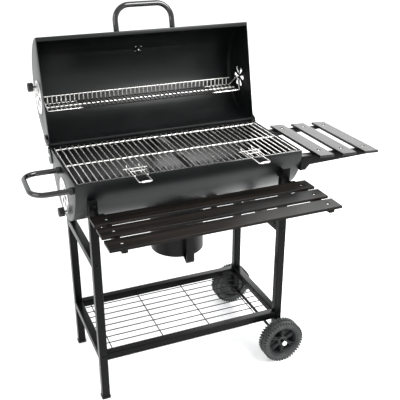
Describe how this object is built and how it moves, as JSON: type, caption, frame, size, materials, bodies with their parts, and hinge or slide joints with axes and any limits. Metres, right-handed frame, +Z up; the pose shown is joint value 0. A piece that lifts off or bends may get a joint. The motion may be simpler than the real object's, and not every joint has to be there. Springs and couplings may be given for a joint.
{
  "type": "barrel charcoal grill cart",
  "caption": "Half-drum charcoal grill on a two-wheeled cart, lid open, with wire grates, warming rack, slatted front and side shelves, wire shelf and ash can.",
  "frame": {"origin": "middle of the grill's own outline, on the floor", "axes": "+Z up, +X along the drum towards the side shelf and the wheels, -Y towards the front shelf"},
  "size_m": [1.1036, 0.7802, 1.1491],
  "materials": {
    "drum_paint": "satin black heat-resistant enamel",
    "frame_paint": "satin black powder coat",
    "ash_can_paint": "satin black enamel",
    "black_slats": "black stained wood, semi gloss",
    "chromed_wire": "bright chromed steel wire",
    "shelf_wire": "black coated wire",
    "bright_hardware": "zinc plated steel",
    "bright_damper": "bright rolled steel",
    "handle_finish": "gloss black tube",
    "black_plastic": "black moulded plastic",
    "wheel_tread": "black moulded tread",
    "wheel_hub": "black moulded hub",
    "needle_paint": "red enamel"
  },
  "bodies": {
    "cart": {"ash_can_rails": "ash_can_paint", "axle_caps": "bright_hardware", "bowl_damper_rivet": "bright_hardware", "bowl_hinge_leaves": "frame_paint", "bowl_left_end": "drum_paint", "bowl_right_end": "drum_paint", "bowl_shell": "drum_paint", "charcoal_grate": "shelf_wire", "cross_rails": "frame_paint", "frame_bolts": "frame_paint", "front_shelf_arms": "frame_paint", "front_slat_1": "black_slats", "front_slat_2": "black_slats", "front_slat_3": "black_slats", "grate_ledges": "frame_paint", "hinge_pins": "bright_hardware", "left_front_leg": "frame_paint", "left_rear_leg": "frame_paint", "leg_brackets": "frame_paint", "leg_feet": "black_plastic", "lower_long_rails": "frame_paint", "rear_rim_lip": "drum_paint", "right_front_leg": "frame_paint", "right_rear_leg": "frame_paint", "shelf_bolts": "bright_hardware", "side_handle": "handle_finish", "side_handle_ferrules": "black_plastic", "side_shelf_arms": "frame_paint", "side_slat_1": "black_slats", "side_slat_2": "black_slats", "side_slat_3": "black_slats", "wheel_axle": "frame_paint", "wire_shelf": "shelf_wire"},
    "lid": {"lid_shell": "drum_paint", "lid_left_end": "drum_paint", "lid_right_end": "drum_paint", "lid_handle": "handle_finish", "lid_handle_bolts": "frame_paint", "lid_hinge_leaves": "frame_paint", "lid_damper_rivets": "bright_hardware", "thermometer_case": "bright_hardware", "thermometer_nut": "bright_hardware"},
    "dial_needle": {"thermometer_needle": "needle_paint"},
    "lid_left_vent": {"lid_left_damper": "bright_damper", "lid_left_damper_knob": "black_plastic"},
    "lid_right_vent": {"lid_right_damper": "bright_damper", "lid_right_damper_knob": "black_plastic"},
    "bowl_vent": {"bowl_left_damper": "bright_damper", "bowl_left_damper_knob": "black_plastic"},
    "rack": {"warming_rack": "chromed_wire"},
    "left_grate": {"left_cooking_grate": "chromed_wire", "left_grate_handle": "chromed_wire"},
    "right_grate": {"right_cooking_grate": "chromed_wire", "right_grate_handle": "chromed_wire"},
    "ash_drawer": {"ash_can": "ash_can_paint", "ash_can_handle": "ash_can_paint"},
    "front_wheel": {"front_wheel_tyre": "wheel_tread", "front_wheel_hub": "wheel_hub"},
    "rear_wheel": {"rear_wheel_tyre": "wheel_tread", "rear_wheel_hub": "wheel_hub"}
  },
  "joints": [
    {"name": "lid_hinge", "type": "hinge", "parent": "cart", "child": "lid", "pos_m": [-0.07376, 0.18388, 0.741], "axis": [-1, 0, 0], "range_deg": [-102.4, 0]},
    {"name": "rack_swing", "type": "hinge", "parent": "lid", "child": "rack", "pos_m": [-0.07376, 0.30274, 0.86947], "axis": [-1, 0, 0], "range_deg": [0, 102.4]},
    {"name": "dial_needle_turn", "type": "hinge", "parent": "lid", "child": "dial_needle", "pos_m": [-0.07376, 0.36728, 0.98916], "axis": [0, 0.8695, 0.4939], "range_deg": [0, 270]},
    {"name": "lid_left_damper_turn", "type": "hinge", "parent": "lid", "child": "lid_left_vent", "pos_m": [-0.42976, 0.30274, 0.86947], "axis": [1, 0, 0], "range_deg": [0, 30]},
    {"name": "lid_right_damper_turn", "type": "hinge", "parent": "lid", "child": "lid_right_vent", "pos_m": [0.28224, 0.30274, 0.86947], "axis": [1, 0, 0], "range_deg": [0, 30]},
    {"name": "bowl_damper_turn", "type": "hinge", "parent": "cart", "child": "bowl_vent", "pos_m": [-0.42976, 0.01588, 0.645], "axis": [1, 0, 0], "range_deg": [0, 30]},
    {"name": "left_grate_lift", "type": "slide", "parent": "cart", "child": "left_grate", "axis": [0, 0, 1], "range_m": [0, 0.2]},
    {"name": "right_grate_lift", "type": "slide", "parent": "cart", "child": "right_grate", "axis": [0, 0, 1], "range_m": [0, 0.2]},
    {"name": "ash_can_slide", "type": "slide", "parent": "cart", "child": "ash_drawer", "axis": [0, -1, 0], "range_m": [0, 0.15]},
    {"name": "front_wheel_spin", "type": "hinge", "parent": "cart", "child": "front_wheel", "pos_m": [0.22424, -0.18412, 0.075], "axis": [0, 1, 0], "continuous": true},
    {"name": "rear_wheel_spin", "type": "hinge", "parent": "cart", "child": "rear_wheel", "pos_m": [0.22424, 0.21588, 0.075], "axis": [0, 1, 0], "continuous": true}
  ],
  "couplings": [
    {"joint": "rack_swing", "follows": "lid_hinge", "ratio": -1}
  ]
}
